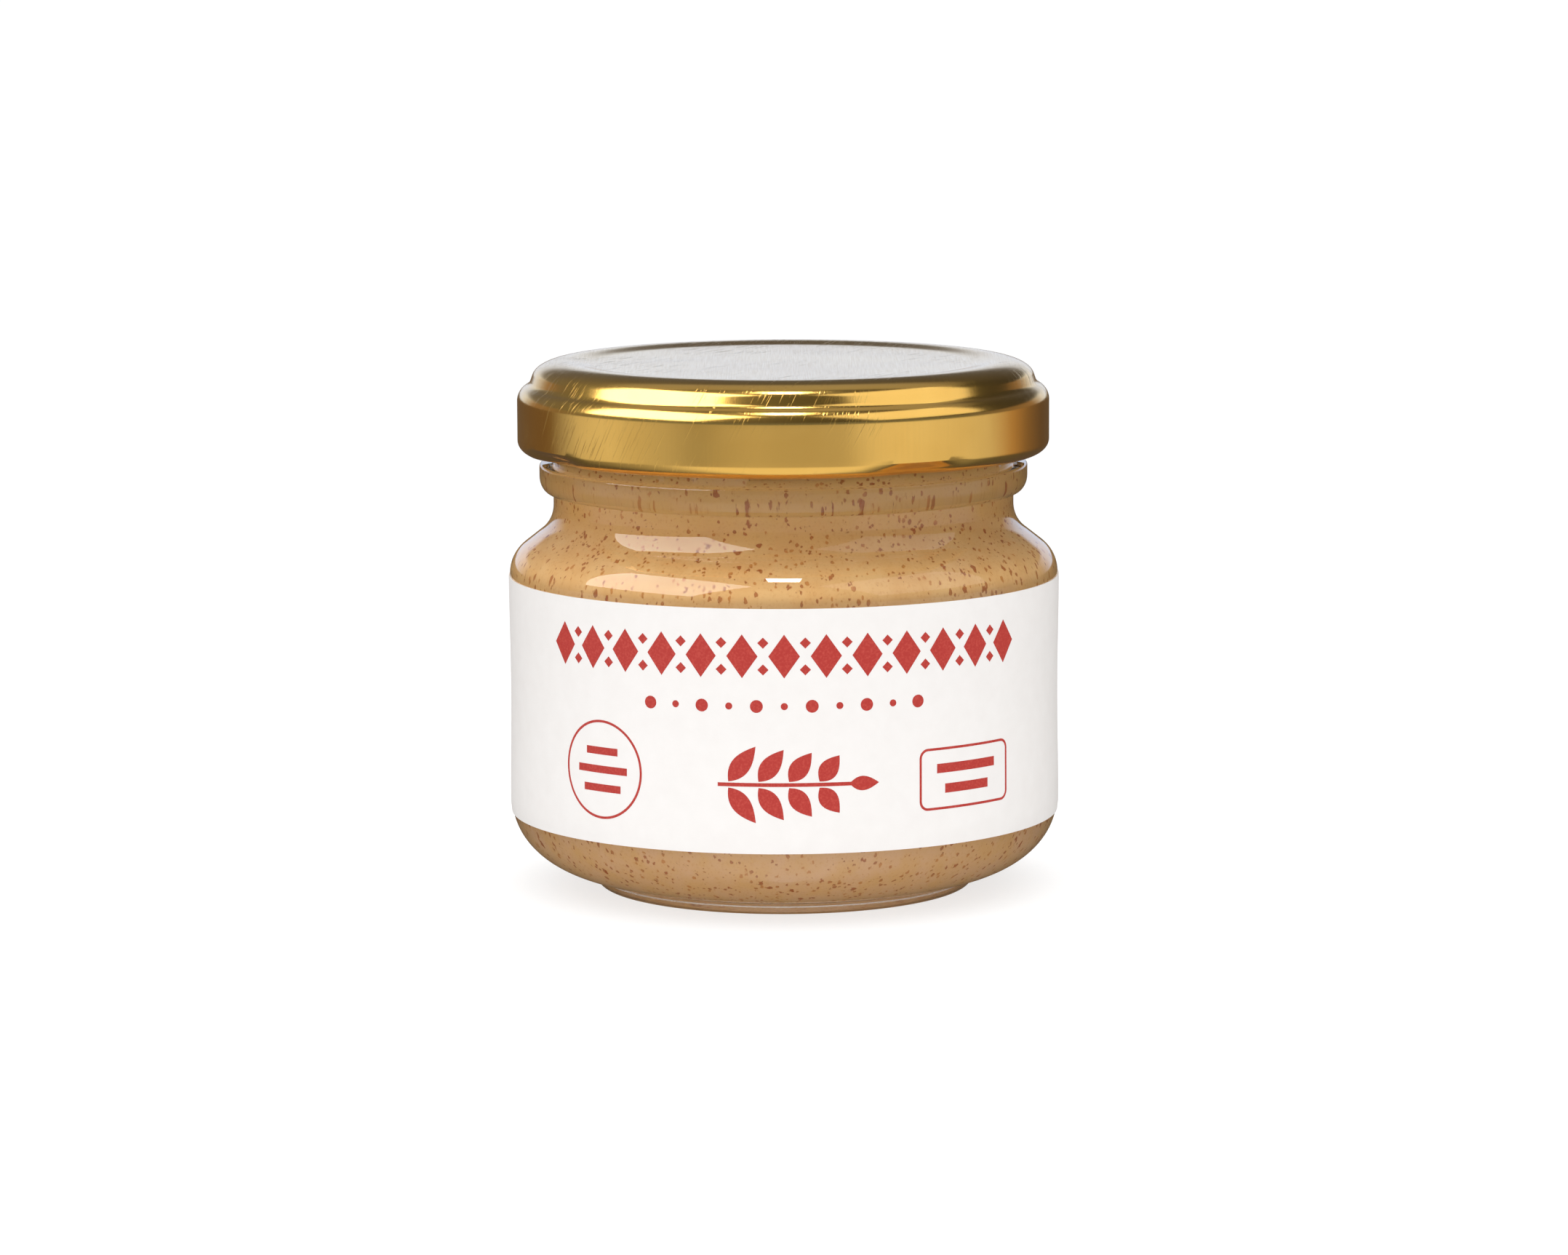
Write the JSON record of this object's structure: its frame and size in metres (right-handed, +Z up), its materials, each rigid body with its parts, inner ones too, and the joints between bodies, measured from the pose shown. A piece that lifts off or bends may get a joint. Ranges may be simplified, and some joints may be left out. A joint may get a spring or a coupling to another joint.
{
  "type": "jar of peanut butter",
  "caption": "Squat glass jar of peanut butter with a thick base, a gold twist-off lid with pressed lugs and a wrap-round paper label.",
  "frame": {"origin": "on the jar's axis, at the plane of the ring that it stands on", "axes": "+Z up along the jar's axis, -Y towards the front of the label, +X to the right as seen from the front"},
  "size_m": [0.0638, 0.0636, 0.0611],
  "materials": {
    "glass": "clear flint glass, smooth",
    "peanut_butter": "smooth tan paste with brown specks",
    "gold_lid": "gold-lacquered tinplate, glossy with fine scratches",
    "label_paper": "coated paper, satin"
  },
  "bodies": {
    "root": {"glass_jar": "glass", "peanut_butter": "peanut_butter", "lid": "gold_lid", "label": "label_paper"}
  },
  "joints": []
}
